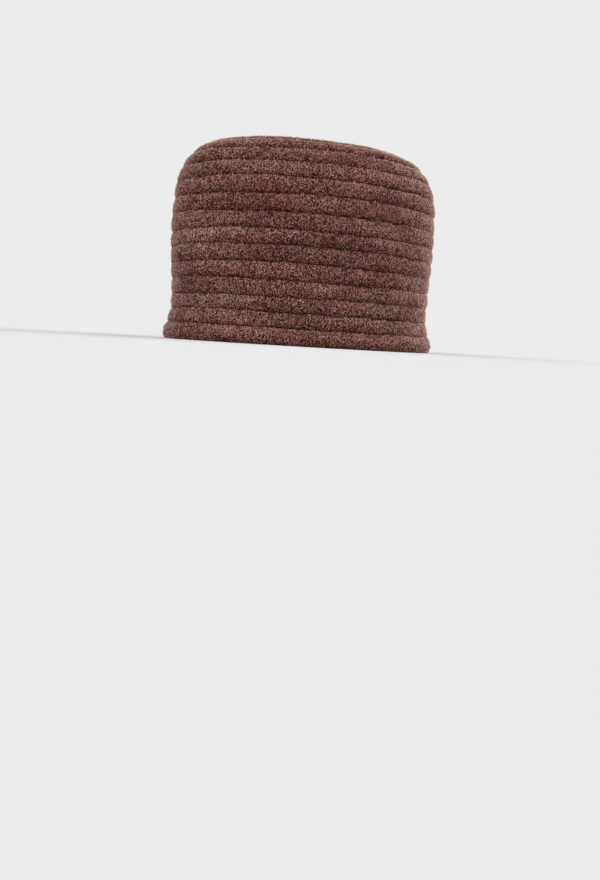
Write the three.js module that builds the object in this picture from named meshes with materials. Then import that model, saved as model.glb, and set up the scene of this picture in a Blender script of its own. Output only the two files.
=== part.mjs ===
// A brimless wool hat: a tall, soft pillbox whose whole body is worked in rows of padded wool.
// Each row is a shallow roll about 11 mm wide, drawn in along a seam at its upper and lower edge.
// The rows climb the side, turn over a round shoulder and close in ovals on the flat tip.
// The lowest row is rolled up on itself, so it is thicker and stands out as a lip.
//
// Frame: millimetres, +Z up, the wearer faces -Y. The origin is under the middle of the hat, in the
// plane of the hem, so the hat rests on z = 0. Every oval has its long axis along Y.
import * as THREE from 'three';

// The oval of the head inside the hat at its waist: 570 mm round.
const HEAD_HALF_LENGTH = 98;
const HEAD_HALF_WIDTH = 83;

// The outer side of the wall, as the line that touches the crest of each row.
// reach is measured outwards from the head oval, height upwards from the hem.
const WALL = [
  { height: 0, reach: 9.2 }, // foot of the rolled hem
  { height: 12, reach: 6.7 },
  { height: 23, reach: 4.4 }, // waist
  { height: 44, reach: 4.8 },
  { height: 66, reach: 6.1 },
  { height: 84, reach: 6.4 }, // widest
  { height: 99, reach: 5.6 }, // foot of the shoulder
];
const SHOULDER_IN = 27; // how far the shoulder draws in
const SHOULDER_UP = 37.5; // and how far it climbs
const TIP_DOME = 1.5; // rise of the tip from its edge to its middle

// Widths of the rows along that line, from the hem upwards.
const HEM_WIDTH = 12;
const SIDE_WIDTHS = [10.0, 9.9, 10.9, 10.8, 11.2, 10.2, 11.3, 11.6, 11.2, 11.1, 10.9, 10.9, 10.9];
const TIP_ROWS = 5; // even rows round a small oval in the middle
const TIP_MIDDLE = 5.4; // half the width of that oval

// The padded wool.
const THICKNESS = 3.6; // at a crest
const SEAM_DEPTH = 1.4; // how far a seam draws the outside in
const SEAM_GAP = 0.3; // between pieces that are sewn together
const CREST_POWER = 2.4; // 2 gives half ellipses, more gives flatter crests
const ROW_STOPS = [0, 0.14, 0.5, 0.86]; // where a row's section is taken, as shares of its width

// The rolled hem's section. up is a share of the row's width, depth is inwards from the crest line.
const HEM_ROLL = [
  { up: 1.0, depth: 1.5 }, // outer edge of the seam
  { up: 0.86, depth: 0.4 },
  { up: 0.5, depth: 0 }, // crest
  { up: 0.2, depth: 0.5 },
  { up: 0.06, depth: 1.4 },
  { up: 0, depth: 2.6 }, // the foot is flat from here
  { up: 0, depth: 4.4 }, // to here, where the hat rests
  { up: 0.12, depth: 5.6 },
  { up: 0.45, depth: 6.2 }, // the inside of the roll
  { up: 0.85, depth: 5.2 },
  { up: 1.0, depth: 3.8 },
];

const ROUND = 52; // facets round the oval
const WOOL = { color: 0x6f5149, roughness: 0.95, metalness: 0 };

// The crest line from the foot of the hem to the middle of the tip, with x as reach, y as height.
function crestLine() {
  const wall = WALL.map(({ reach, height }) => new THREE.Vector2(reach, height));
  const foot = wall.at(-1);
  const tipEdge = foot.x - SHOULDER_IN;
  const tipHeight = foot.y + SHOULDER_UP + TIP_DOME;
  const halfway = (tipEdge - HEAD_HALF_WIDTH) / 2;
  const line = new THREE.Path();
  line.moveTo(wall[0].x, wall[0].y);
  line.splineThru(wall.slice(1));
  line.absellipse(tipEdge, foot.y, SHOULDER_IN, SHOULDER_UP, 0, Math.PI / 2, false);
  line.quadraticCurveTo(halfway, tipHeight, -HEAD_HALF_WIDTH, tipHeight);
  return line;
}

// The point at a distance along the crest line, moved inwards by depth, square to the line.
function pointOn(line, distance, depth) {
  const share = THREE.MathUtils.clamp(distance / line.getLength(), 0, 1);
  const tangent = line.getTangent(share);
  return line.getPoint(share).add(new THREE.Vector2(-tangent.y, tangent.x).multiplyScalar(depth));
}

// How far a row's outside lies below the crest line, at a share of its width from seam to seam.
function rowDepth(share) {
  const across = Math.abs(2 * share - 1);
  return SEAM_DEPTH * (1 - (1 - across ** CREST_POWER) ** (1 / CREST_POWER));
}

// Distances along the crest line of the seams that bound rows of these widths.
function seamsFrom(start, widths) {
  const seams = [start];
  for (const width of widths) seams.push(seams.at(-1) + width);
  return seams;
}

// The outside of a run of rows, from its lowest seam to just below its highest.
function rowsOutside(line, seams) {
  const points = [];
  for (let i = 0; i < seams.length - 1; i++) {
    const width = seams[i + 1] - seams[i];
    for (const stop of ROW_STOPS) {
      const trim = i === 0 && stop === 0 ? SEAM_GAP / 2 : 0;
      points.push(pointOn(line, seams[i] + stop * width + trim, rowDepth(stop)));
    }
  }
  return points;
}

// The inside of the same rows, with one point at each distance.
function rowsInside(line, distances) {
  return distances.map((distance) => pointOn(line, distance, THICKNESS));
}

// Sweeps a section round the oval. A closed section makes a ring. An open one starts and ends on
// the middle line of the tip, where the two halves of the oval meet, and makes a closed cap.
function sweepRoundOval(section, closed) {
  const positions = [];
  for (const { x: reach, y: height } of section) {
    for (let j = 0; j < ROUND; j++) {
      const angle = (2 * Math.PI * j) / ROUND;
      const across = (HEAD_HALF_WIDTH + reach) * Math.cos(angle);
      const along = (HEAD_HALF_LENGTH + reach) * Math.sin(angle);
      positions.push(across, along, height);
    }
  }
  const indices = [];
  const bands = closed ? section.length : section.length - 1;
  for (let i = 0; i < bands; i++) {
    const lower = i * ROUND;
    const upper = ((i + 1) % section.length) * ROUND;
    for (let j = 0; j < ROUND; j++) {
      const next = (j + 1) % ROUND;
      indices.push(lower + j, lower + next, upper + next, lower + j, upper + next, upper + j);
    }
  }
  const geometry = new THREE.BufferGeometry();
  geometry.setAttribute('position', new THREE.Float32BufferAttribute(positions, 3));
  geometry.setIndex(indices);
  geometry.computeVertexNormals();
  return geometry;
}

function woolMesh(name, section, closed) {
  const mesh = new THREE.Mesh(sweepRoundOval(section, closed), new THREE.MeshStandardMaterial(WOOL));
  mesh.name = name;
  return mesh;
}

function rolledHem(line) {
  const width = HEM_WIDTH - SEAM_GAP / 2;
  const section = HEM_ROLL.map(({ up, depth }) => pointOn(line, up * width, depth));
  for (const point of section) point.y = Math.max(point.y, 0);
  return woolMesh('rolled_hem', section.reverse(), true);
}

function sideCrown(line, seams) {
  const top = seams.at(-1) - SEAM_GAP / 2;
  const inside = rowsInside(line, [seams[0] + SEAM_GAP / 2, ...seams.slice(1, -1), top]);
  const section = [...rowsOutside(line, seams), pointOn(line, top, rowDepth(1)), ...inside.reverse()];
  return woolMesh('side_crown', section, true);
}

function tip(line, edge) {
  const middle = line.getLength();
  const width = (middle - TIP_MIDDLE - edge) / TIP_ROWS;
  const seams = seamsFrom(edge, Array(TIP_ROWS).fill(width));
  const under = rowsInside(line, [edge + SEAM_GAP / 2, ...seams.slice(1), middle]);
  const last = pointOn(line, seams.at(-1), rowDepth(1));
  const section = [...under.reverse(), ...rowsOutside(line, seams), last, pointOn(line, middle, 0)];
  for (const end of [section[0], section.at(-1)]) end.x = -HEAD_HALF_WIDTH;
  return woolMesh('tip', section, false);
}

const line = crestLine();
const sideSeams = seamsFrom(HEM_WIDTH, SIDE_WIDTHS);
const hat = new THREE.Group();
hat.add(rolledHem(line), sideCrown(line, sideSeams), tip(line, sideSeams.at(-1)));

export default hat;
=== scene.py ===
"""A brimless wool hat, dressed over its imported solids.

The hat is a tall, soft pillbox worked in padded rows of brushed brown wool, sewn one above the other.
Each row is a surface over two parameters: the angle round the oval and the share of the row's width
from its lower seam to its upper one. Knitted loops and loose fibres are set on that same surface.

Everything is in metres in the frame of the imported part: +Z up, the wearer faces -Y, and the hat rests
on z = 0. Every oval has its long axis along Y.
"""

import logging
import math
from dataclasses import dataclass, field
from enum import Enum
from itertools import pairwise, product

import bmesh
import bpy
import numpy as np
from mathutils import Euler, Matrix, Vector


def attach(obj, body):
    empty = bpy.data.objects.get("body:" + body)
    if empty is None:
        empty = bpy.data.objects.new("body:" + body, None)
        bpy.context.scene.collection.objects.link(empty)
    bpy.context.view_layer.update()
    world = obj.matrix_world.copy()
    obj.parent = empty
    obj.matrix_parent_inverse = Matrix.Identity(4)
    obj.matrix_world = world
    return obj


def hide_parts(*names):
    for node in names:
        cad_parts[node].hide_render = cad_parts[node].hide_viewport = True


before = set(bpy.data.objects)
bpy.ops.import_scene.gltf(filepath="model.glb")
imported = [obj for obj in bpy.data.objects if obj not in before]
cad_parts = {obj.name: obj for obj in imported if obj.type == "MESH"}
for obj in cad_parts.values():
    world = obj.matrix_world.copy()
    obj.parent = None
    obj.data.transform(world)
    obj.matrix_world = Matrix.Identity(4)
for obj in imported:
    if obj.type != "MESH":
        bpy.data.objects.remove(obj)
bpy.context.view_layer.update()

log = logging.getLogger("wool_hat")
MM = 0.001
TURN = 2 * math.pi
ONCE_ROUND = np.linspace(0, TURN, 121)  # angles for measuring a ring, which end where they start
BAKE_MAP = "OFBake"  # the map that a bake of a piece goes through

Array = np.ndarray
Piece = bpy.types.Object
Socket = bpy.types.NodeSocket


# Smooth randomness


class Draw(Enum):
    """The first seed of each kind of random draw."""

    LUMPS = 11
    SEAMS = 50
    MIDDLE = 99
    LOOPS = 400
    FIBRES = 500
    LOOP_SHAPES = 600
    FIBRE_SHAPES = 700


# Odd numbers that mix the coordinates, the seed and then the bits of a lattice node's code.
AXIS_MIX = np.array([73856093, 19349663, 83492791], np.uint64)
SEED_MIX, SEED_START = 2654435761, 97531
BIT_MIX = ((15, 2246822519), (13, 3266489917), (16, 1))  # how far the bits are folded, and the factor
LOW_BITS = 0xFFFFFF
LATTICE_START = 4096  # added to lattice numbers, which have to be positive


def lattice_values(nodes: Array, seed: int) -> Array:
    """A repeatable random value for each whole-numbered lattice node.

    The three coordinates are mixed by multiplying with large odd numbers and folding the high bits
    back in, which gives the same values on every run.

    Args:
        nodes: whole numbers, with the three coordinates on the last axis.
        seed: which of many unlike lattices to read.

    Returns:
        Values from -1 to 1, one for each node.
    """
    code = np.bitwise_xor.reduce(nodes.astype(np.uint64) * AXIS_MIX, axis=-1)
    code ^= np.uint64(seed * SEED_MIX + SEED_START)
    for shift, factor in BIT_MIX:
        code ^= code >> np.uint64(shift)
        code *= np.uint64(factor)
    return (code & np.uint64(LOW_BITS)).astype(float) / (LOW_BITS // 2) - 1


def smooth_noise(points: Array, cell: float, seed: int) -> Array:
    """Smooth noise through space.

    Random values stand on a cubic lattice with this cell, and each point blends the eight round it
    by the cubic fade 3 s squared minus 2 s cubed.

    Args:
        points: places in metres, with x, y and z on the last axis.
        cell: the lattice's spacing in metres.
        seed: which noise to read.

    Returns:
        Values from -1 to 1, one for each point.
    """
    scaled = points / cell + LATTICE_START
    base = np.floor(scaled)
    part = scaled - base
    fade = part * part * (3 - 2 * part)
    total = np.zeros(points.shape[:-1])
    for corner in product((0, 1), repeat=3):
        weight = np.where(np.array(corner) == 1, fade, 1 - fade).prod(-1)
        total += weight * lattice_values(base + corner, seed)
    return total


# Curves


def cubic_stretches(start: Array, end: Array, leave: Array, arrive: Array, count: int) -> Array:
    """Points along stretches of cubic curve, given by their ends and their directions there.

    With s the share of the way, a point is the sum of 2 s cubed - 3 s squared + 1 times the start,
    3 s squared - 2 s cubed times the end, s cubed - 2 s squared + s times the direction at the
    start, and s cubed - s squared times the direction at the end.

    Args:
        start: where each stretch starts, one a line.
        end: where it ends.
        leave: its direction at its start.
        arrive: its direction at its end.
        count: points on each stretch, without its end.

    Returns:
        The points of all stretches, one a line.
    """
    s = np.linspace(0, 1, count, endpoint=False)[None, :, None]
    start, end, leave, arrive = (a[:, None] for a in (start, end, leave, arrive))
    curve = (2 * s**3 - 3 * s**2 + 1) * start + (3 * s**2 - 2 * s**3) * end
    curve = curve + (s**3 - 2 * s**2 + s) * leave + (s**3 - s**2) * arrive
    return curve.reshape(-1, start.shape[-1])


def closed_curve(stations: Array, between: int) -> Array:
    """A closed smooth curve through stations, as a Catmull-Rom curve.

    Args:
        stations: one station a line.
        between: how many points to put from each station up to the next.

    Returns:
        The curve's points.
    """
    before, end, after = (np.roll(stations, shift, axis=0) for shift in (1, -1, -2))
    return cubic_stretches(stations, end, (end - before) / 2, (after - stations) / 2, between)


def superellipse_drop(across: Array, power: float) -> Array:
    """How far a superellipse lies below its top: 0 in its middle and 1 at its end.

    It is 1 - (1 - across to the power) to the power of 1 / power.

    Args:
        across: from 0 in its middle to 1 at its end.
        power: 2 gives a circle, more gives a squarer form.

    Returns:
        The drop at each place.
    """
    return 1 - (1 - np.clip(across, 0, 1) ** power) ** (1 / power)


def ring_length(ring: Array) -> float:
    """The length of a line through points, whose last one repeats the first."""
    return float(np.linalg.norm(np.diff(ring, axis=0), axis=1).sum())


# The form of the hat


@dataclass(frozen=True)
class WallStop:
    """A point of the wall's crest line.

    Attributes:
        height: upwards from the hem.
        reach: outwards from the head oval.
    """

    height: float
    reach: float


@dataclass
class CrestLine:
    """The line that touches the crest of each row, from the hem's foot to the middle of the tip.

    It climbs the wall as a smooth curve through the stops, turns in over the shoulder as a quarter
    of an oval, and rises a little to the middle of the tip as a parabola.

    Attributes:
        half_length: half the head oval along Y.
        half_width: half the head oval along X.
        stops: points that the wall passes through.
        shoulder_in: how far the shoulder draws in.
        shoulder_up: how far the shoulder climbs.
        tip_dome: rise of the tip from its edge to its middle.
        fineness: points along each stretch.
    """

    half_length: float = 98 * MM
    half_width: float = 83 * MM
    stops: tuple[WallStop, ...] = (
        WallStop(height=0 * MM, reach=9.2 * MM),  # foot of the rolled hem
        WallStop(height=12 * MM, reach=6.7 * MM),
        WallStop(height=23 * MM, reach=4.4 * MM),  # waist
        WallStop(height=44 * MM, reach=4.8 * MM),
        WallStop(height=66 * MM, reach=6.1 * MM),
        WallStop(height=84 * MM, reach=6.4 * MM),  # widest
        WallStop(height=99 * MM, reach=5.6 * MM),  # foot of the shoulder
    )
    shoulder_in: float = 27 * MM
    shoulder_up: float = 37.5 * MM
    tip_dome: float = 1.5 * MM
    fineness: int = 300
    points: Array = field(init=False)
    inwards: Array = field(init=False)
    distances: Array = field(init=False)

    def __post_init__(self) -> None:
        """Lays out the line, its running length and its direction inwards."""
        stretches = [self._wall(), self._shoulder()[1:], self._tip()[1:]]
        self.points = np.concatenate(stretches)
        steps = np.linalg.norm(np.diff(self.points, axis=0), axis=1)
        self.distances = np.concatenate([[0.0], np.cumsum(steps)])
        along = np.gradient(self.points, self.distances, axis=0)
        along /= np.linalg.norm(along, axis=1, keepdims=True)
        self.inwards = np.stack([-along[:, 1], along[:, 0]], axis=1)

    def _wall(self) -> Array:
        """The wall, as a Catmull-Rom curve through the stops.

        At each stop the curve has the direction from the stop before it to the stop after it.

        Returns:
            Points as reach and height.
        """
        stops = np.array([[stop.reach, stop.height] for stop in self.stops])
        before = np.concatenate([stops[:1], stops[:-2]])
        after = np.concatenate([stops[2:], stops[-1:]])
        start, end = stops[:-1], stops[1:]
        leave, arrive = (end - before) / 2, (after - start) / 2
        curve = cubic_stretches(start, end, leave, arrive, self.fineness // len(start))
        return np.concatenate([curve, stops[-1:]])

    def _shoulder(self) -> Array:
        """The shoulder, a quarter of an oval.

        Returns:
            Points as reach and height.
        """
        foot = self.stops[-1]
        turn = np.linspace(0, math.pi / 2, self.fineness)
        reach = foot.reach - self.shoulder_in * (1 - np.cos(turn))
        return np.stack([reach, foot.height + self.shoulder_up * np.sin(turn)], axis=1)

    def _tip(self) -> Array:
        """The tip, whose height falls with the square of the distance from its middle.

        Returns:
            Points as reach and height.
        """
        edge = self.stops[-1].reach - self.shoulder_in
        s = np.linspace(0, 1, self.fineness)
        reach = edge + (-self.half_width - edge) * s
        height = self.stops[-1].height + self.shoulder_up + self.tip_dome * (1 - (1 - s) ** 2)
        return np.stack([reach, height], axis=1)

    @property
    def length(self) -> float:
        """The line's whole length."""
        return float(self.distances[-1])

    def place(self, angle: Array, distance: Array, depth: Array) -> Array:
        """Points round the hat.

        A point starts on the crest line at its distance, goes inwards by its depth, square to the
        line, and is then carried round the oval: x is the half width plus the reach, times the
        cosine of the angle, and y the half length plus the reach, times the sine.

        Args:
            angle: round the oval, from +X towards +Y.
            distance: along the crest line from the hem's foot.
            depth: inwards from the crest line.

        Returns:
            Points with x, y and z on the last axis.
        """
        index = np.arange(len(self.distances))
        at = np.interp(distance, self.distances, index)
        reach, height = (
            np.interp(at, index, self.points[:, k]) + depth * np.interp(at, index, self.inwards[:, k])
            for k in range(2)
        )
        across = np.maximum(self.half_width + reach, 0) * np.cos(angle)
        along = (self.half_length + reach) * np.sin(angle)
        return np.stack([across, along, height + 0 * angle], axis=-1)


SEAM_WAVES = np.array([2, 3, 5, 7, 11, 16, 23, 31, 43, 59])  # waves round the oval
SEAM_WAVE_SIZES = (0.4, 1.0)  # the least and the most, before they shrink with the waves' number


@dataclass
class Seam:
    """A line of stitches round the hat, between two rows.

    It sways a little along its way, and the thread draws the wool in more at some places than at
    others. Both are sums of a few waves round the oval with random sizes and phases. The wool also
    swells a little between one stitch and the next.

    Attributes:
        at: distance along the crest line.
        seed: which sway the seam has.
        stitches: how many there are round the hat.
        sway: how far it strays, as a root mean square.
        pull: how far the thread draws the outside in.
        pull_change: how much the pull varies, as a share of it.
        pucker: how much the pull eases between two stitches, as a share of it.
    """

    at: float
    seed: int
    stitches: int = 60
    sway: float = 0.34 * MM
    pull: float = 1.60 * MM
    pull_change: float = 0.30
    pucker: float = 0.16
    sizes: Array = field(init=False)
    phases: Array = field(init=False)

    def __post_init__(self) -> None:
        """Draws the waves of the sway and of the pull."""
        rng = np.random.default_rng(self.seed)
        sizes = rng.uniform(*SEAM_WAVE_SIZES, (2, len(SEAM_WAVES))) / np.sqrt(SEAM_WAVES)
        self.sizes = sizes / np.sqrt((sizes**2).sum(1, keepdims=True) / 2)
        self.phases = rng.uniform(0, TURN, (2, len(SEAM_WAVES)))

    def _wave(self, angle: Array, which: int) -> Array:
        """The sum of the waves at these angles, with a root mean square of 1."""
        turns = angle[..., None] * SEAM_WAVES + self.phases[which]
        return (np.cos(turns) * self.sizes[which]).sum(-1)

    def distance(self, angle: Array) -> Array:
        """Where the seam runs, along the crest line, at these angles."""
        return self.at + self.sway * self._wave(angle, 0)

    def drawn_in(self, angle: Array) -> Array:
        """How deep the seam lies below the crest line at these angles."""
        eased = self.pucker * np.cos(self.stitches * angle)
        return self.pull * (1 + self.pull_change * self._wave(angle, 1) + eased)


@dataclass(frozen=True)
class PaintedShading:
    """Painted light and shade across a row: how much darker its wool is painted than its mean.

    Attributes:
        crest: added everywhere; it is below zero, so the crest and the upper part of the row are painted
            lighter, as lit from above.
        foot: painted shade, added down to the row's foot by the square of the way, as the lower part faces
            away from the light above.
        above_seam: painted shade in the groove above the lower seam, added by the square of the valley.
        below_seam: painted shade in the groove below the upper seam, added by the square of the valley.
        inner_crest: on the inside, between the seams.
        inner_seam: painted shade in the seams' grooves on the inside, added by the valley.
    """

    crest: float = -0.03
    foot: float = 0.15
    above_seam: float = 0.42
    below_seam: float = 0.20
    inner_crest: float = -0.1
    inner_seam: float = 0.3

    def outside(self, share: Array, valley: Array) -> Array:
        """The painted shade of the outside, at a share of the row's width with this valley."""
        seam = self.above_seam + (self.below_seam - self.above_seam) * share
        return self.crest + self.foot * (1 - share) ** 2 + seam * valley**2

    def inside(self, valley: Array) -> Array:
        """The painted shade of the inside, where the row has this valley."""
        return self.inner_crest + self.inner_seam * valley


# Height, width and seed of the padding's slow swells, and then of its small knots of wool.
LUMPS = ((0.30 * MM, 13 * MM, Draw.LUMPS.value), (0.16 * MM, 4.2 * MM, Draw.LUMPS.value + 1))


@dataclass
class Row:
    """A padded row of the hat, closed all round.

    Attributes:
        name: the piece's name.
        node: the solid that the row stands for, with others.
        line: the crest line that the row follows.
        lower: the seam below it.
        upper: the seam above it.
        facet: about how long the facets round it are.
        outer_stations: points across the outside of its section.
        inner_stations: points across the inside of its section.
        thickness: of the wool at the crest.
        inner_pull: how far a seam draws the inside out.
        power: 2 gives a row half-round sections, more gives it a flatter crest and narrower seams.
        gap: between neighbouring rows.
        painted_shading: the painted shade that darkens it from seam to seam.
    """

    name: str
    node: str
    line: CrestLine
    lower: Seam
    upper: Seam
    facet: float = 1.9 * MM
    outer_stations: int = 15
    inner_stations: int = 6
    thickness: float = 3.6 * MM
    inner_pull: float = 0.8 * MM
    power: float = 2.2
    gap: float = 0.08 * MM
    painted_shading: PaintedShading = PaintedShading()

    @property
    def width(self) -> float:
        """From the lower seam to the upper one, along the crest line."""
        return self.upper.at - self.lower.at

    @property
    def girth(self) -> float:
        """The length once round the middle of the row."""
        return ring_length(self.outside(ONCE_ROUND, np.full_like(ONCE_ROUND, 0.5)))

    @property
    def columns(self) -> int:
        """How many facets there are round the row."""
        return round(self.girth / self.facet)

    def valley(self, share: Array) -> Array:
        """How far across a row is drawn in: 0 at the crest and 1 at a seam."""
        return superellipse_drop(np.abs(2 * share - 1), self.power)

    def shade(self, share: Array) -> Array:
        """How much painted shade the outside gets at a share of the row's width."""
        return self.painted_shading.outside(share, self.valley(share))

    def _distance(self, angle: Array, share: Array) -> Array:
        """Where a point of the row lies, between the lower seam and the upper one.

        Args:
            angle: round the oval.
            share: of the way from the lower seam to the upper.

        Returns:
            Distances along the crest line.
        """
        low = self.lower.distance(angle) + self.gap / 2
        high = self.upper.distance(angle) - self.gap / 2
        return low + (high - low) * share

    def _lumps(self, angle: Array, distance: Array) -> Array:
        """How far the padding stands out, as a sum of smooth noises through space."""
        points = self.line.place(angle, distance, np.zeros_like(distance))
        return sum(height * smooth_noise(points, width, seed) for height, width, seed in LUMPS)

    def outside(self, angle: Array, share: Array) -> Array:
        """Points of the row's outside.

        The depth below the crest line is the valley times the pull of the nearer seam, less the
        lumps, which fade towards the seams.

        Args:
            angle: round the oval.
            share: of the way from the lower seam to the upper.

        Returns:
            Points with x, y and z on the last axis.
        """
        angle, share = np.broadcast_arrays(angle, share)
        distance = self._distance(angle, share)
        valley = self.valley(share)
        pull = np.where(share < 0.5, self.lower.drawn_in(angle), self.upper.drawn_in(angle))
        depth = valley * pull - (1 - valley) * self._lumps(angle, distance)
        return self.line.place(angle, distance, depth)

    def inside(self, angle: Array, share: Array) -> Array:
        """Points of the row's inside.

        The depth below the crest line is the thickness less the valley times the inner pull.

        Args:
            angle: round the oval.
            share: of the way from the lower seam to the upper.

        Returns:
            Points with x, y and z on the last axis.
        """
        angle, share = np.broadcast_arrays(angle, share)
        depth = self.thickness - self.inner_pull * self.valley(share)
        return self.line.place(angle, self._distance(angle, share), depth)

    def _angles(self) -> Array:
        """The angle of each column, as a line of a grid."""
        return np.linspace(0, TURN, self.columns, endpoint=False)[None, :]

    def _piece(self, points: Array, shade: Array, closed: bool) -> Piece:
        """Makes a mesh from rings of points.

        Args:
            points: by ring and column.
            shade: the painted shade, by ring, and by column where it changes round the ring.
            closed: whether the last ring joins the first.

        Returns:
            The new object, with the attribute shade.
        """
        piece = new_piece(self.name, points.reshape(-1, 3), grid_faces(*points.shape[:2], closed))
        set_attribute(piece, "shade", np.broadcast_to(shade, points.shape[:2]).ravel())
        return piece

    def build(self) -> Piece:
        """Makes the row's mesh: rings up the outside and down the inside, closed on each other.

        The rings stand closer towards the seams, by a cosine.

        Returns:
            The new object, with the attribute shade.
        """
        out, back = (
            (1 - np.cos(np.linspace(0, math.pi, count)))[:, None] / 2
            for count in (self.outer_stations, self.inner_stations)
        )
        back = back[::-1]
        points = np.concatenate([self.outside(self._angles(), out), self.inside(self._angles(), back)])
        # the painted shade of the outside and of the inside
        shade = np.concatenate([self.shade(out), self.painted_shading.inside(self.valley(back))])
        return self._piece(points, shade, closed=True)


@dataclass
class Hem(Row):
    """The lowest row, rolled up on itself so that it stands out as a lip.

    Its section is a closed smooth curve through the stations of the roll.

    Attributes:
        roll: each station's share of the row's width and its depth inwards from the crest line.
        front: how many of the stations are its outside.
        between: points of the section from each station up to the next.
        foot_fade: the lower share of the width in which the lumps fade under the strands.
        top_fade: the upper share of the width in which they do so.
        lumpy: the depth at which the lumps of the section have faded.
        shaded: the depth up to which the section gets a row's painted shade.
        darkest: the share of the width whose painted shade goes on down to the foot.
    """

    roll: tuple[tuple[float, float], ...] = (
        (1.00, 2.0 * MM),
        (0.94, 0.8 * MM),
        (0.83, -0.1 * MM),
        (0.64, -0.85 * MM),
        (0.46, -1.0 * MM),  # crest
        (0.28, -0.6 * MM),
        (0.13, 0.4 * MM),
        (0.04, 1.7 * MM),
        (0.00, 2.9 * MM),
        (0.00, 4.4 * MM),  # the hat rests between these two
        (0.10, 5.5 * MM),
        (0.45, 6.1 * MM),
        (0.85, 5.2 * MM),
        (1.00, 3.8 * MM),
    )
    front: int = 9
    between: int = 2
    foot_fade: float = 1 / 4
    top_fade: float = 1 / 6
    lumpy: float = 2.2 * MM
    shaded: float = 3 * MM
    darkest: float = 0.1

    def _rolled(self, angle: Array, share: Array, depth: Array, shown: Array) -> Array:
        """Points of the roll, none of them below the floor.

        Args:
            angle: round the oval.
            share: of the row's width.
            depth: inwards from the crest line.
            shown: how much of the lumps shows.

        Returns:
            Points with x, y and z on the last axis.
        """
        distance = self._distance(angle, share)
        points = self.line.place(angle, distance, depth - shown * self._lumps(angle, distance))
        points[..., 2] = np.maximum(points[..., 2], 0)
        return points

    def outside(self, angle: Array, share: Array) -> Array:
        """Points of the roll's outside.

        The depth below the crest line goes evenly from station to station of the roll, less the
        lumps, which fade towards the foot and the seam.

        Args:
            angle: round the oval.
            share: of the way from the foot to the seam above.

        Returns:
            Points with x, y and z on the last axis.
        """
        angle, share = np.broadcast_arrays(angle, share)
        stations = np.array(self.roll[: self.front])[::-1]
        depth = np.interp(share, stations[:, 0], stations[:, 1])
        shown = np.clip(np.minimum(share / self.foot_fade, (1 - share) / self.top_fade), 0, 1)
        return self._rolled(angle, share, depth, shown)

    def build(self) -> Piece:
        """Makes the roll's mesh: one ring for each point of its section, closed on each other.

        The lumps fade with the depth, and only the outside gets painted shade.

        Returns:
            The new object, with the attribute shade.
        """
        stations = closed_curve(np.array(self.roll)[::-1], self.between)
        share, depth = np.clip(stations[:, :1], 0, 1), stations[:, 1:]
        angle, share = np.broadcast_arrays(self._angles(), share)
        shown = np.clip(1 - depth / self.lumpy, 0, 1)
        shade = np.where(depth < self.shaded, self.shade(np.maximum(share, self.darkest)), 0.0)
        return self._piece(self._rolled(angle, share, depth, shown), shade, closed=True)


@dataclass
class Middle(Row):
    """The small oval pad in the middle of the tip, inside the last seam.

    Its rings shrink to a short line along Y, where the two sides of the oval meet.

    Attributes:
        facets: how many there are round the pad.
        rings: how many there are on each side of the pad.
        crowding: more than 1 brings the rings closer together towards the seam.
        weld: how close points of the middle line are joined.
    """

    facets: int = 72
    rings: int = 9
    crowding: float = 1.4
    weld: float = 0.02 * MM

    @property
    def columns(self) -> int:
        """How many facets there are round the pad."""
        return self.facets

    def valley(self, share: Array) -> Array:
        """0 over most of the pad and 1 at the seam round it."""
        return superellipse_drop(1 - 2 * share, self.power)

    def _distance(self, angle: Array, share: Array) -> Array:
        """Distance along the crest line, from the seam to the line's end."""
        low = self.lower.distance(angle) + self.gap / 2
        return low + (self.line.length - low) * share

    def build(self) -> Piece:
        """Makes the pad's mesh, closed along the line in its middle.

        Returns:
            The new object, with the attribute shade.
        """
        out = np.linspace(0, 1, self.rings)[:, None] ** self.crowding
        under, over = self.inside(self._angles(), out[::-1]), self.outside(self._angles(), out)
        for ring in (under[0], over[-1]):
            ring[:, 0] = 0
            ring[:, 2] = ring[:, 2].mean()
        # painted shade, on the underside and on the top of the pad
        shade = np.concatenate([self.painted_shading.inside(self.valley(out[::-1])), self.shade(out)])
        piece = self._piece(np.concatenate([under, over]), shade, closed=False)
        merge_doubles(piece, self.weld)
        return piece


# Meshes from arrays


def grid_faces(rings: int, columns: int, closed: bool) -> Array:
    """Four-sided faces over rings of points, each ring closed on itself.

    Args:
        rings: how many rings there are.
        columns: points in each ring.
        closed: whether the last ring joins the first.

    Returns:
        The corners of each face.
    """
    ring = np.arange(rings if closed else rings - 1)[:, None]
    column = np.arange(columns)[None, :]
    above, beside = (ring + 1) % rings, (column + 1) % columns
    corners = [ring * columns + column, ring * columns + beside]
    corners += [above * columns + beside, above * columns + column]
    return np.stack(corners, axis=-1).reshape(-1, 4)


def new_piece(name: str, points: Array, faces: Array) -> Piece:
    """Makes an object from points and faces, with its place in its mesh.

    Args:
        name: the object's and the mesh's name.
        points: its vertices.
        faces: the corners of each face, all with as many corners.

    Returns:
        The object, at the origin and smooth shaded.
    """
    mesh = bpy.data.meshes.new(name)
    count, corners = faces.shape
    mesh.vertices.add(len(points))
    mesh.vertices.foreach_set("co", points.astype(np.float32).ravel())
    mesh.loops.add(count * corners)
    mesh.loops.foreach_set("vertex_index", faces.astype(np.int32).ravel())
    mesh.polygons.add(count)
    mesh.polygons.foreach_set("loop_start", np.arange(count, dtype=np.int32) * corners)
    mesh.polygons.foreach_set("use_smooth", np.ones(count, bool))
    mesh.update(calc_edges=True)
    piece = bpy.data.objects.new(name, mesh)
    bpy.context.scene.collection.objects.link(piece)
    return piece


def set_attribute(piece: Piece, name: str, values: Array) -> None:
    """Gives each vertex of a piece a number that its material can read."""
    attribute = piece.data.attributes.new(name, "FLOAT", "POINT")
    attribute.data.foreach_set("value", np.ascontiguousarray(values, np.float32))


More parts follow.
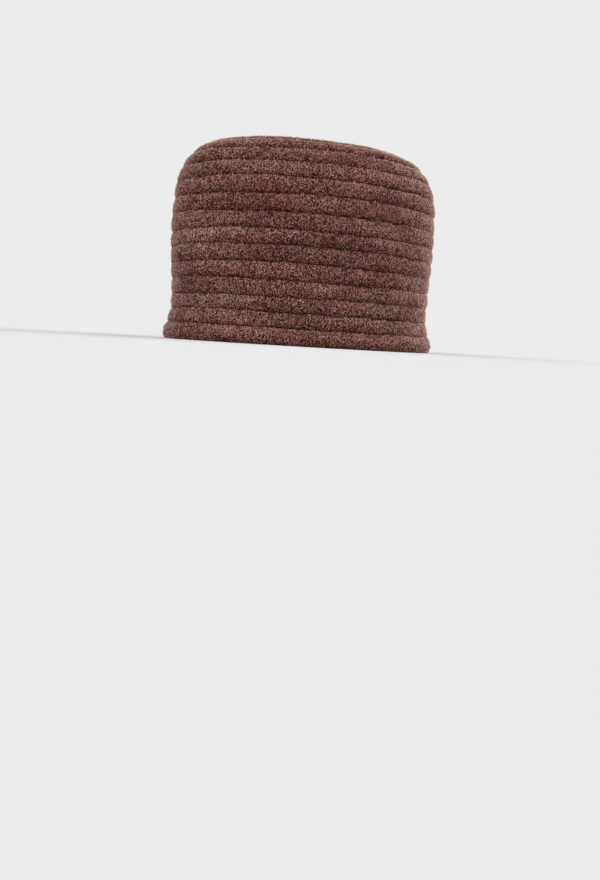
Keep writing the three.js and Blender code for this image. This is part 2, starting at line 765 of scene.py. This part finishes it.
def merge_doubles(piece: Piece, within: float) -> None:
    """Joins vertices that lie close together, and drops the faces that close up.

    Args:
        piece: the piece.
        within: how close they have to be.
    """
    mesh = bmesh.new()
    mesh.from_mesh(piece.data)
    bmesh.ops.remove_doubles(mesh, verts=mesh.verts, dist=within)
    bmesh.ops.dissolve_degenerate(mesh, edges=mesh.edges, dist=within / 2)
    mesh.to_mesh(piece.data)
    mesh.free()


# Loops and fibres


@dataclass
class Spots:
    """Where strands lie on one row.

    Attributes:
        row: the row.
        angle: of each strand, round the oval.
        share: of each strand, across the row.
        tone: how light each strand is, from 0 to 1.
        lean: the mean angle of each strand from straight up the row, towards the left.
    """

    row: Row
    angle: Array
    share: Array
    tone: Array
    lean: Array

    def __post_init__(self) -> None:
        """Darkens the strands by the row's painted shade."""
        self.tone = self.tone - self.row.shade(self.share)


@dataclass(frozen=True)
class Strands:
    """Short strands that lie on the rows, each a closed spindle of six faces.

    A strand has a point at each end and, half way, a left, a right and a top corner. Its ends dip
    below the surface or stand clear of it.

    Attributes:
        half_length: the least and the most.
        half_width: the least and the most.
        rise: of the top above the surface, the least and the most.
        tail: of the far end above the surface, the least and the most.
        sink: how far the near end lies below the surface.
        bow: how far the middle may stray sideways.
        lean_spread: how widely the strands' angle varies, as a standard deviation.
        follow: how far the strands are shaded as the wool below them, and not by their own faces.
        side_sink: how far the sides lie below the surface, as a share of the sink.
    """

    half_length: tuple[float, float]
    half_width: tuple[float, float]
    rise: tuple[float, float]
    tail: tuple[float, float]
    sink: float
    bow: float
    lean_spread: float
    follow: float = 0.8
    side_sink: float = 0.4

    def lay(self, name: str, spots: list[Spots], seed: int) -> Piece:
        """Makes one piece of strands.

        Args:
            name: the piece's name.
            spots: where the strands lie on each row.
            seed: which draw of shapes to take.

        Returns:
            The new object, with the attribute tone.
        """
        rng = np.random.default_rng(seed)
        frames = [surface_frames(spot.row, spot.angle, spot.share) for spot in spots]
        middle, right, up, out = (np.concatenate(parts) for parts in zip(*frames))
        tone = np.concatenate([spot.tone for spot in spots])
        lean = np.concatenate([spot.lean for spot in spots])
        count = len(middle)
        lean = (lean + self.lean_spread * rng.standard_normal(count))[:, None]
        ahead = np.cos(lean) * up - np.sin(lean) * right
        side = np.cross(ahead, out)
        half_length, half_width, rise, tail = (
            rng.uniform(*limits, count)[:, None]
            for limits in (self.half_length, self.half_width, self.rise, self.tail)
        )
        waist = middle + self.bow * rng.uniform(-1, 1, count)[:, None] * side
        corners = [
            middle - half_length * ahead - self.sink * out,
            middle + half_length * ahead + tail * out,
            waist + half_width * side - self.side_sink * self.sink * out,
            waist - half_width * side - self.side_sink * self.sink * out,
            waist + rise * out,
        ]
        points = np.stack(corners, axis=1).reshape(-1, 3)
        points[:, 2] = np.maximum(points[:, 2], 0)
        spindle = np.array([[0, 3, 2], [1, 2, 3], [0, 2, 4], [2, 1, 4], [1, 3, 4], [3, 0, 4]])
        faces = (spindle[None] + len(corners) * np.arange(count)[:, None, None]).reshape(-1, 3)
        piece = new_piece(name, points, faces)
        own = np.stack([-ahead, ahead, side, -side, out], axis=1)
        normals = self.follow * out[:, None, :] + (1 - self.follow) * own
        normals /= np.linalg.norm(normals, axis=2, keepdims=True)
        piece.data.normals_split_custom_set_from_vertices(normals.reshape(-1, 3))
        set_attribute(piece, "tone", np.repeat(tone, len(corners)))
        lay_out_cells(piece, count, spindle)
        return piece


def lay_out_cells(piece: Piece, count: int, spindle: Array) -> None:
    """Gives each strand a square cell of the bake map.

    The strand's ends are at the cell's bottom and top, its sides at its left and right, and its top
    corner in the middle, so the four faces on show fill a diamond.

    Args:
        piece: the strands.
        count: how many there are.
        spindle: the corners of a strand's faces.
    """
    low, mid, high = 0.06, 0.5, 0.94
    across = math.ceil(math.sqrt(count))
    cell = np.stack([np.arange(count) % across, np.arange(count) // across], axis=1)
    inside = np.array([[mid, low], [mid, high], [high, mid], [low, mid], [mid, mid]])
    places = (cell[:, None, :] + inside[spindle.ravel()][None]) / across
    layer = piece.data.uv_layers.new(name=BAKE_MAP)
    layer.uv.foreach_set("vector", places.astype(np.float32).ravel())


def surface_frames(row: Row, angle: Array, share: Array) -> tuple[Array, Array, Array, Array]:
    """Points of a row's outside with their directions.

    The directions come from the differences to points a little further round and further up.

    Args:
        row: the row.
        angle: round the oval.
        share: across the row.

    Returns:
        The points, and unit vectors to the right, up the row and straight out.
    """
    step_round, step_up = 0.25 * MM / row.line.half_width, 0.02
    here = row.outside(angle, share)
    right = row.outside(angle + step_round, share) - here
    up = row.outside(angle, share + step_up) - here
    out = np.cross(right, up)
    out /= np.linalg.norm(out, axis=1, keepdims=True)
    up /= np.linalg.norm(up, axis=1, keepdims=True)
    return here, np.cross(up, out), up, out


@dataclass
class Knit:
    """Where the loops of the knitted wool lie: in courses round each row, at even steps.

    Two loops side by side make a stitch. They lean apart at their tops like a V, they lie closer to
    each other than to the next stitch, and the left one is a little lighter.

    Attributes:
        seed: which draw to take.
        wale: from one stitch to the next, round the hat.
        course: from one course to the next, up the row.
        apart: from one loop of a stitch to the other, as a share of the wale.
        slant: the angle of a loop from straight up the row.
        stray: how far a loop lies from its even place, as a share of the course.
        margin: of a row's width, left bare next to its seams.
        contrast: how much the tone differs from loop to loop.
        stitch_contrast: how much lighter the left loop of a stitch is than the right one.
    """

    seed: int
    wale: float = 2.2 * MM
    course: float = 0.95 * MM
    apart: float = 0.40
    slant: float = math.radians(18)
    stray: float = 0.20
    margin: float = 0.02
    contrast: float = 1.6
    stitch_contrast: float = 0.2

    def spots(self, rows: list[Row]) -> list[Spots]:
        """The loops' places, on a grid of courses, stitches and the two loops of each.

        Args:
            rows: the rows that they lie on.

        Returns:
            The places, row by row.
        """
        rng = np.random.default_rng(self.seed)
        found = []
        for row in rows:
            courses = round(row.width / self.course)
            stitches = round(row.girth / self.wale)
            grid = np.arange(courses), np.arange(stitches), np.array([1, -1])
            course, stitch, left = np.meshgrid(*grid, indexing="ij")
            stray = rng.uniform(-self.stray, self.stray, (2, *left.shape))
            shift = rng.uniform(0, 1) - self.apart / 2 * left
            angle = TURN * (stitch + shift + stray[0] * self.course / self.wale) / stitches
            share = self.margin + (1 - 2 * self.margin) * (course + 0.5 + stray[1]) / courses
            tone = 0.5 + self.contrast * (rng.uniform(0, 1, left.shape) - 0.5)
            tone += self.stitch_contrast / 2 * left
            found.append(Spots(row, *(a.ravel() for a in (angle, share, tone, self.slant * left))))
        return found


@dataclass
class Fuzz:
    """Where loose fibres stand: anywhere on the rows, evenly by area.

    Attributes:
        seed: which draw to take.
        density: fibres on each square metre.
        margin: of a row's width, left bare next to its seams.
        darkest: the least tone.
        contrast: how much the tone differs from fibre to fibre.
    """

    seed: int
    density: float = 0.21e6
    margin: float = 0.02
    darkest: float = 0.55
    contrast: float = 0.5

    def spots(self, rows: list[Row]) -> list[Spots]:
        """The fibres' places, at random.

        Args:
            rows: the rows that they stand on.

        Returns:
            The places, row by row.
        """
        rng = np.random.default_rng(self.seed)
        found = []
        for row in rows:
            count = round(self.density * row.girth * row.width)
            angle, share, tone = rng.uniform(0, 1, (3, count))
            share = self.margin + (1 - 2 * self.margin) * share
            tone = self.darkest + self.contrast * tone
            found.append(Spots(row, TURN * angle, share, tone, np.zeros(count)))
        return found


@dataclass
class SeamThread:
    """The sewing thread: short stitches of dark thread, sunk in each seam.

    Attributes:
        shown: how much of the way from one stitch to the next is thread.
        radius: of the thread.
        depth: of the thread's middle below the crest line, as a share of the seam's own depth.
        dip: how far the ends of a stitch dip into the wool, in radii.
        end: the square of the radius at its ends, as a share of that in its middle.
        sides: of the thread's section.
        stations: along a stitch.
    """

    shown: float = 0.74
    radius: float = 0.28 * MM
    depth: float = 0.80
    dip: float = 1.2
    end: float = 0.02
    sides: int = 4
    stations: int = 5

    def build(self, name: str, line: CrestLine, seams: list[Seam]) -> Piece:
        """Makes every stitch of these seams as one piece.

        A stitch is a tube along the seam whose radius follows a half circle, so that its ends
        close to points, and whose ends dip into the wool by the square of the way from its middle.

        Args:
            name: the piece's name.
            line: the crest line.
            seams: the seams to sew.

        Returns:
            The new object.
        """
        along = np.linspace(-1, 1, self.stations)
        round_it = TURN * (np.arange(self.sides) + 0.5) / self.sides
        thick = self.radius * np.sqrt(np.maximum(1 - along**2, self.end))[None, :, None]
        across, outwards = thick * np.cos(round_it), thick * np.sin(round_it)
        tubes = []
        for seam in seams:
            way = np.arange(seam.stitches)[:, None] + along[None] * self.shown / 2
            angle = TURN / seam.stitches * way
            distance = seam.distance(angle)[..., None] + across
            middle = seam.drawn_in(angle) * self.depth + self.dip * self.radius * along[None] ** 2
            points = line.place(angle[..., None] + 0 * across, distance, middle[..., None] - outwards)
            tubes.append(points.reshape(seam.stitches, -1, 3))
        points = np.concatenate(tubes)
        firsts = points.shape[1] * np.arange(len(points))[:, None, None]
        faces = tube_faces(self.stations, self.sides)[None] + firsts
        return new_piece(name, points.reshape(-1, 3), faces.reshape(-1, 3))


def tube_faces(stations: int, sides: int) -> Array:
    """Three-sided faces of a closed tube, with a fan over each end.

    Args:
        stations: rings along the tube.
        sides: points in each ring.

    Returns:
        The corners of each face.
    """
    quads = grid_faces(stations, sides, closed=False)
    walls = np.concatenate([quads[:, [0, 1, 2]], quads[:, [0, 2, 3]]])
    fan = np.stack([np.zeros(sides - 2, int), np.arange(1, sides - 1), np.arange(2, sides)], axis=1)
    last = (stations - 1) * sides
    return np.concatenate([walls, fan[:, ::-1], last + fan])


# Finishes


@dataclass
class Shader:
    """A material's node tree, built from calls that add and link one node each.

    Attributes:
        name: the material's name.
        material: the material.
        surface: the shader node that its patterns go into.
    """

    name: str
    material: bpy.types.Material = field(init=False)
    surface: bpy.types.Node = field(init=False)

    def __post_init__(self) -> None:
        """Starts the material with its output and one surface shader."""
        self.material = bpy.data.materials.new(self.name)
        self.material.use_nodes = True
        self.surface = self.material.node_tree.nodes["Principled BSDF"]

    def add(self, kind: str, inputs: dict | None = None, **settings: object) -> bpy.types.Node:
        """Adds a node.

        Args:
            kind: the node's type.
            inputs: what goes into its sockets by name or number: a number, a colour or an output.
            settings: its other properties.

        Returns:
            The node.
        """
        node = self.material.node_tree.nodes.new(kind)
        for key, value in settings.items():
            setattr(node, key, value)
        self.feed(node, inputs or {})
        return node

    def feed(self, node: bpy.types.Node, inputs: dict) -> None:
        """Sets or links a node's sockets.

        Args:
            node: the node.
            inputs: what goes into its sockets by name or number: a number, a colour or an output.
        """
        for key, value in inputs.items():
            if isinstance(value, Socket):
                self.material.node_tree.links.new(value, node.inputs[key])
            else:
                node.inputs[key].default_value = value

    def place(self) -> Socket:
        """The place on the object, where patterns are read."""
        return self.add("ShaderNodeTexCoord").outputs["Object"]

    def stretched(self, place: Socket, upwards: float) -> Socket:
        """Places whose height is multiplied, so that patterns grow flat above 1 and tall below 1."""
        return self.add("ShaderNodeMapping", {"Vector": place, "Scale": (1, 1, upwards)}).outputs[0]

    def noise(self, place: Socket, size: float, detail: float) -> Socket:
        """Noise whose features are about this many metres across."""
        values = {"Vector": place, "Scale": 1 / size, "Detail": detail}
        return self.add("ShaderNodeTexNoise", values).outputs["Fac"]

    def maths(self, operation: str, *values: object) -> Socket:
        """A sum on numbers or outputs."""
        return self.add("ShaderNodeMath", dict(enumerate(values)), operation=operation).outputs[0]

    def ramp(self, value: Socket, stops: dict[float, tuple]) -> Socket:
        """Colours by value.

        Args:
            value: from 0 to 1.
            stops: the colour at some values, blended evenly between them.

        Returns:
            The colour.
        """
        node = self.add("ShaderNodeValToRGB", {"Fac": value})
        steps = node.color_ramp.elements
        while len(steps) < len(stops):
            steps.new(0.5)
        for step, (at, colour) in zip(steps, sorted(stops.items())):
            step.position = at
            step.color = (*colour, 1)
        return node.outputs["Color"]

    def attribute(self, name: str) -> Socket:
        """A number that the mesh holds for each vertex."""
        return self.add("ShaderNodeAttribute", attribute_name=name).outputs["Fac"]

    def product(self, first: Socket, second: Socket) -> Socket:
        """Two colours multiplied.

        Args:
            first: a colour.
            second: another.

        Returns:
            The colour.
        """
        node = self.add("ShaderNodeMix", data_type="RGBA", blend_type="MULTIPLY")
        self.feed(node, {0: 1.0, 6: first, 7: second})
        return node.outputs[2]


class Dye(Enum):
    """The colours of the melange, in linear light."""

    # SHADOW, the darkest dye, serves the darkest grains and the painted shade deep in the seams.
    SHADOW = (0.018, 0.0032, 0.0015)
    DARK = (0.050, 0.0112, 0.0065)
    MID = (0.130, 0.0470, 0.0345)
    LIGHT = (0.285, 0.1370, 0.1100)
    PALE = (0.580, 0.3600, 0.3100)
    THREAD = (0.026, 0.0080, 0.0055)


# The dyes of the melange by tone, from 0, darkest, to 1, palest.
MELANGE = {0.0: Dye.SHADOW, 0.22: Dye.DARK, 0.50: Dye.MID, 0.78: Dye.LIGHT, 1.0: Dye.PALE}


@dataclass(frozen=True)
class WoolFinish:
    """Brushed melange wool, for the rows and for the strands on them.

    Attributes:
        name: the material's name.
        sheen: how much the fibres glow at a glancing angle.
        sheen_roughness: how widely they glow.
        sheen_tint: the colour that they glow in.
        roughness: of the surface.
        specular: how much it still mirrors.
        wide: across, of the wide clouds of tone.
        wide_share: how much they change the tone.
        wide_flatness: how much longer than high they are.
        narrow: across, of the narrow clouds of tone.
        narrow_share: how much they change the tone.
        patch: across, of the areas that lean to grey or to red.
        greyer: what the colour is multiplied with where it leans to grey.
        redder: what the colour is multiplied with where it leans to red.
    """

    name: str
    sheen: float = 1.0
    sheen_roughness: float = 0.25
    sheen_tint: tuple[float, ...] = (1.0, 0.72, 0.63, 1)
    roughness: float = 0.92
    specular: float = 0.06
    wide: float = 42 * MM
    wide_share: float = 0.5
    wide_flatness: float = 2.4
    narrow: float = 9 * MM
    narrow_share: float = 0.16
    patch: float = 15 * MM
    greyer: tuple[float, ...] = (0.95, 1.01, 0.98)
    redder: tuple[float, ...] = (1.04, 0.965, 1.0)

    def start(self) -> tuple[Shader, Socket]:
        """Starts the material with its constant values.

        Returns:
            The shader, and the place that patterns read.
        """
        shader = Shader(self.name)
        shader.feed(shader.surface, {
            "Roughness": self.roughness,
            "Specular IOR Level": self.specular,
            "Sheen Weight": self.sheen,
            "Sheen Roughness": self.sheen_roughness,
            "Sheen Tint": self.sheen_tint,
        })
        return shader, shader.place()

    def cloud(self, shader: Shader, place: Socket) -> Socket:
        """How the tone drifts over the hat, from wide clouds and narrow ones.

        Args:
            shader: the shader to add to.
            place: where patterns are read.

        Returns:
            A tone, about 0.33.
        """
        wide = shader.noise(shader.stretched(place, self.wide_flatness), self.wide, detail=1.0)
        narrow = shader.noise(place, self.narrow, detail=3.0)
        narrow = shader.maths("MULTIPLY", narrow, self.narrow_share)
        return shader.maths("MULTIPLY_ADD", wide, self.wide_share, narrow)

    def colour(self, shader: Shader, place: Socket, tone: Socket) -> Socket:
        """The melange at a tone, leaning to grey in some areas and to red in others.

        Args:
            shader: the shader to add to.
            place: where patterns are read.
            tone: from 0, darkest, to 1, palest.

        Returns:
            The colour.
        """
        dyed = shader.ramp(tone, {at: dye.value for at, dye in MELANGE.items()})
        area = shader.noise(place, self.patch, detail=2.0)
        return shader.product(dyed, shader.ramp(area, {0.36: self.greyer, 0.64: self.redder}))


@dataclass(frozen=True)
class Ground(WoolFinish):
    """The wool of the rows themselves, seen between the loops and on the inside.

    Attributes:
        cell: across, of a cell of felt.
        cell_flatness: how much longer than high the cells are.
        contrast: how much the tone differs from cell to cell.
        darken: taken off every tone.
        bump: how strongly the cells' raised middles show.
        bump_height: how high they are.
    """

    cell: float = 0.42 * MM
    cell_flatness: float = 0.6
    contrast: float = 1.4
    darken: float = 0.77
    bump: float = 0.6
    bump_height: float = 0.25 * MM

    def material(self) -> bpy.types.Material:
        """Makes the material.

        Each cell has a random tone and a raised middle. The attribute shade darkens it as painted shade.

        Returns:
            The material.
        """
        shader, place = self.start()
        places = {"Vector": shader.stretched(place, self.cell_flatness), "Scale": 1 / self.cell}
        cells = shader.add("ShaderNodeTexVoronoi", places)
        tint = shader.add("ShaderNodeSeparateColor", {"Color": cells.outputs["Color"]}).outputs[0]
        tone = shader.maths("MULTIPLY_ADD", tint, self.contrast, self.cloud(shader, place))
        # painted shade in the seams and towards each row's foot
        tone = shader.maths("SUBTRACT", tone, shader.attribute("shade"))
        tone = shader.maths("SUBTRACT", tone, self.darken)
        low = {"Height": cells.outputs["Distance"], "Strength": self.bump, "Distance": self.bump_height}
        bump = shader.add("ShaderNodeBump", low, invert=True).outputs[0]
        shader.feed(shader.surface, {"Base Color": self.colour(shader, place, tone), "Normal": bump})
        return shader.material


@dataclass(frozen=True)
class Pile(WoolFinish):
    """The wool of loops and fibres, each of one tone.

    Attributes:
        grain: across, of the fine noise along a strand.
        contrast: how much that noise changes the tone.
        darken: taken off every tone.
    """

    grain: float = 0.4 * MM
    contrast: float = 2.8
    darken: float = 1.81

    def material(self) -> bpy.types.Material:
        """Makes the material.

        The tone is each strand's attribute tone, plus the cloud, plus the fine noise.

        Returns:
            The material.
        """
        shader, place = self.start()
        fine = shader.noise(place, self.grain, detail=1.0)
        tone = shader.maths("MULTIPLY_ADD", fine, self.contrast, self.cloud(shader, place))
        tone = shader.maths("ADD", tone, shader.attribute("tone"))
        tone = shader.maths("SUBTRACT", tone, self.darken)
        shader.feed(shader.surface, {"Base Color": self.colour(shader, place, tone)})
        return shader.material


@dataclass(frozen=True)
class ThreadFinish:
    """Dark sewing thread with a fine twist.

    Attributes:
        name: the material's name.
        twist: across, of the twist's changes of colour.
        roughness: of the thread.
        specular: how much it mirrors.
    """

    name: str
    twist: float = 0.4 * MM
    roughness: float = 0.8
    specular: float = 0.2

    def material(self) -> bpy.types.Material:
        """Makes the material, whose colour goes between two dark dyes by fine noise.

        Returns:
            The material.
        """
        shader = Shader(self.name)
        twist = shader.noise(shader.place(), self.twist, detail=1.0)
        colour = shader.ramp(twist, {0.3: Dye.THREAD.value, 0.7: Dye.DARK.value})
        inputs = {"Roughness": self.roughness, "Specular IOR Level": self.specular}
        shader.feed(shader.surface, {"Base Color": colour} | inputs)
        return shader.material


# The hat


class Zone(Enum):
    """Parts of the hat whose strands are made as one piece."""

    HEM = "hem"
    LOWER = "lower_wall"
    MIDDLE = "middle_wall"
    UPPER = "upper_wall"
    SHOULDER = "shoulder"
    TIP = "tip"


LOOP = Strands(
    half_length=(0.42 * MM, 0.78 * MM),
    half_width=(0.22 * MM, 0.38 * MM),
    rise=(0.30 * MM, 0.70 * MM),
    tail=(-0.3 * MM, 0.0 * MM),
    sink=0.3 * MM,
    bow=0.15 * MM,
    lean_spread=math.radians(16),
)
FIBRE = Strands(
    half_length=(0.7 * MM, 1.5 * MM),
    half_width=(0.07 * MM, 0.12 * MM),
    rise=(0.5 * MM, 0.9 * MM),
    tail=(0.2 * MM, 1.0 * MM),
    sink=0.2 * MM,
    bow=0.5 * MM,
    lean_spread=math.radians(70),
)


@dataclass
class WoolHat:
    """The whole hat: its rows, the loops and fibres on them, and the thread in its seams.

    Attributes:
        line: the crest line.
        hem_width: of the lowest row.
        side_widths: of the rows of the wall and the shoulder, upwards.
        tip_rows: how many even rows there are on the tip.
        tip_middle: half the width of the oval inside them.
        stitch: about how far it is from one stitch of a seam to the next.
        fill: how tightly the rows would be padded, up to 1; not used.
        ground_sheen: how much the rows themselves glow at a glancing angle.
    """

    line: CrestLine = field(default_factory=CrestLine)
    hem_width: float = 12 * MM
    side_widths: tuple[float, ...] = tuple(
        width * MM for width in (10.0, 9.9, 10.9, 10.8, 11.2, 10.2, 11.3, 11.6, 11.2, 11.1, 10.9, 10.9, 10.9)
    )
    tip_rows: int = 5
    tip_middle: float = 5.4 * MM
    stitch: float = 6.4 * MM
    fill: float = 0.7
    ground_sheen: float = 0.4

    def seams(self) -> list[Seam]:
        """Places the seams.

        Returns:
            The hem's foot, which doesn't sway, and every seam above it.
        """
        side = self.hem_width + np.cumsum((0, *self.side_widths))
        tip = np.linspace(side[-1], self.line.length - self.tip_middle, self.tip_rows + 1)[1:]
        made = [Seam(0.0, Draw.SEAMS.value, sway=0.0)]
        for i, at in enumerate([*side, *tip], start=1):
            ring = self.line.place(ONCE_ROUND, np.full_like(ONCE_ROUND, at), 0 * ONCE_ROUND)
            stitches = round(ring_length(ring) / self.stitch)
            made.append(Seam(float(at), Draw.SEAMS.value + i, stitches))
        return made

    def rows(self) -> list[Row]:
        """Places the rows between the seams.

        Returns:
            Every row, from the hem upwards.
        """
        seams = self.seams()
        names = [("side_crown", f"side_row_{i + 1:02d}") for i in range(len(self.side_widths))]
        names += [("tip", f"tip_row_{i + 1}") for i in range(self.tip_rows)]
        end = Seam(self.line.length, Draw.MIDDLE.value)
        return [
            Hem("hem_row", "rolled_hem", self.line, *seams[:2]),
            *(Row(name, node, self.line, *pair) for (node, name), pair in zip(names, pairwise(seams[1:]))),
            Middle("tip_middle", "tip", self.line, seams[-1], end),
        ]

    def zones(self, rows: list[Row]) -> dict[Zone, list[Row]]:
        """Shares the rows out.

        Args:
            rows: every row, from the hem upwards.

        Returns:
            The rows of each zone.
        """
        side = [row for row in rows if row.node == "side_crown"]
        return {
            Zone.HEM: rows[:1],
            Zone.LOWER: side[:3],
            Zone.MIDDLE: side[3:6],
            Zone.UPPER: side[6:9],
            Zone.SHOULDER: side[9:],
            Zone.TIP: [row for row in rows if row.node == "tip"],
        }

    def build(self) -> None:
        """Makes, dresses and places every piece."""
        rows = self.rows()
        ground = Ground("wool_ground", sheen=self.ground_sheen).material()
        pile = Pile("wool_pile").material()
        thread = ThreadFinish("seam_thread").material()
        for row in rows:
            self.dress(row.build(), ground, row.node)
        for i, (zone, members) in enumerate(self.zones(rows).items()):
            spots = Knit(Draw.LOOPS.value + i).spots(members)
            loops = LOOP.lay(f"loops_{zone.value}", spots, Draw.LOOP_SHAPES.value + i)
            self.dress(loops, pile)
            spots = Fuzz(Draw.FIBRES.value + i).spots(members)
            fibres = FIBRE.lay(f"fibres_{zone.value}", spots, Draw.FIBRE_SHAPES.value + i)
            self.dress(fibres, pile)
        self.dress(SeamThread().build("seam_stitches", self.line, self.seams()[1:]), thread)

    def dress(self, piece: Piece, material: bpy.types.Material, node: str | None = None) -> None:
        """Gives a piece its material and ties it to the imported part.

        Args:
            piece: the piece.
            material: what it is made of.
            node: the solid that it stands for, if any.
        """
        piece.data.materials.append(material)
        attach(piece, "root")
        if node is not None:
            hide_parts(node)
        log.info("%s: %d vertices, %d faces", piece.name, len(piece.data.vertices), len(piece.data.polygons))


# The studio


@dataclass(frozen=True)
class Lamp:
    """A far, soft light.

    Attributes:
        name: the light's name.
        bearing: degrees round the hat from the camera, positive to the right.
        height: degrees above the floor.
        strength: of the light.
        spread: how many degrees wide it looks from the hat.
        distance: from the origin to where it is put.
    """

    name: str
    bearing: float
    height: float
    strength: float
    spread: float
    distance: float = 3.0

    def build(self, azimuth: float) -> None:
        """Adds the light.

        Args:
            azimuth: the camera's angle round the hat.
        """
        data = bpy.data.lights.new(self.name, "SUN")
        data.energy = self.strength
        data.angle = math.radians(self.spread)
        lamp = bpy.data.objects.new(self.name, data)
        turn, height = azimuth + math.radians(self.bearing), math.radians(self.height)
        level = math.cos(height)
        towards = Vector((math.sin(turn) * level, -math.cos(turn) * level, math.sin(height)))
        lamp.rotation_euler = towards.to_track_quat("Z", "Y").to_euler()
        lamp.location = towards * self.distance
        bpy.context.scene.collection.objects.link(lamp)


@dataclass
class Studio:
    """A pale floor that meets a sky of the same brightness, soft lights and the camera.

    Attributes:
        sky: brightness of the surroundings.
        lamps: the lights.
        floor_size: half the floor's width.
        mottle: how much the floor's grey varies either way.
        mottle_size: across, of a lighter or darker part of the floor.
        azimuth: the camera's angle round the hat, 0 from the front.
        distance: from the hat's middle to the camera, along the floor.
        eye_height: of the camera above the floor.
        pitch: of the camera's axis above the horizon.
        roll: of the camera, which lowers the hat's right side.
        magnification: pixels for each metre at the hat's middle.
        aside: how far the axis passes to the right of the hat's middle.
    """

    sky: float = 0.838
    lamps: tuple[Lamp, ...] = (
        Lamp("key", bearing=-34, height=40, strength=1.3, spread=80),
        Lamp("fill", bearing=50, height=30, strength=0.4, spread=80),
        Lamp("rim", bearing=132, height=16, strength=2.3, spread=40),
    )
    floor_size: float = 40.0
    mottle: float = 0.005
    mottle_size: float = 0.4
    azimuth: float = math.radians(33)
    distance: float = 0.85
    eye_height: float = 0.006
    pitch: float = math.radians(-5.06)
    roll: float = math.radians(3.44)
    magnification: float = 1360.9
    aside: float = 0.00534

    def build(self) -> None:
        """Makes the studio."""
        self._sky()
        self._floor()
        for lamp in self.lamps:
            lamp.build(self.azimuth)
        self._camera()

    def _sky(self) -> None:
        """Surrounds the scene with an even pale light."""
        world = bpy.data.worlds.new("studio")
        world.use_nodes = True
        world.node_tree.nodes["Background"].inputs["Color"].default_value = (1, 1, 1, 1)
        world.node_tree.nodes["Background"].inputs["Strength"].default_value = self.sky
        bpy.context.scene.world = world

    @property
    def floor_grey(self) -> float:
        """How much light the floor returns, so that it looks as bright as the sky.

        The floor gets the sky's light and, from each lamp, its strength times the sine of its
        height over pi.
        """
        lamps = sum(lamp.strength * math.sin(math.radians(lamp.height)) for lamp in self.lamps)
        return self.sky / (self.sky + lamps / math.pi)

    def _floor(self) -> None:
        """Lays a flat pale floor."""
        half = self.floor_size
        corners = np.array([[-half, -half, 0], [half, -half, 0], [half, half, 0], [-half, half, 0]], float)
        floor = new_piece("floor", corners, np.array([[0, 1, 2, 3]]))
        shader = Shader("pale_floor")
        grain = shader.noise(shader.place(), self.mottle_size, detail=3.0)
        low, high = self.floor_grey * (1 - self.mottle), self.floor_grey * (1 + self.mottle)
        colour = shader.ramp(grain, {0.3: (low,) * 3, 0.7: (high,) * 3})
        shader.feed(shader.surface, {"Base Color": colour, "Roughness": 1.0, "Specular IOR Level": 0.0})
        floor.data.materials.append(shader.material)

    def _camera(self) -> None:
        """Sets the camera low over the floor, at the photo's angle round the hat.

        Its lens gives the wanted magnification at the hat's middle in a picture 880 pixels high.
        """
        picture_height = 880
        data = bpy.data.cameras.new("camera")
        data.sensor_fit = "VERTICAL"
        data.sensor_height = 36.0
        data.lens = self.magnification * self.distance / picture_height * data.sensor_height
        data.clip_start = 0.01
        camera = bpy.data.objects.new("camera", data)
        back = Vector((math.sin(self.azimuth), -math.cos(self.azimuth), 0))
        right = Vector((math.cos(self.azimuth), math.sin(self.azimuth), 0))
        camera.location = back * self.distance + right * self.aside + Vector((0, 0, self.eye_height))
        upright = Euler((math.pi / 2 + self.pitch, 0, self.azimuth)).to_matrix()
        camera.rotation_euler = (upright @ Euler((0, 0, self.roll)).to_matrix()).to_euler()
        bpy.context.scene.collection.objects.link(camera)
        bpy.context.scene.camera = camera


def main() -> None:
    """Builds the hat and the studio in order."""
    logging.basicConfig(level=logging.INFO, format="%(name)s %(message)s")
    bpy.context.scene.view_settings.view_transform = "Standard"
    WoolHat().build()
    Studio().build()


if __name__ == "__main__":
    main()
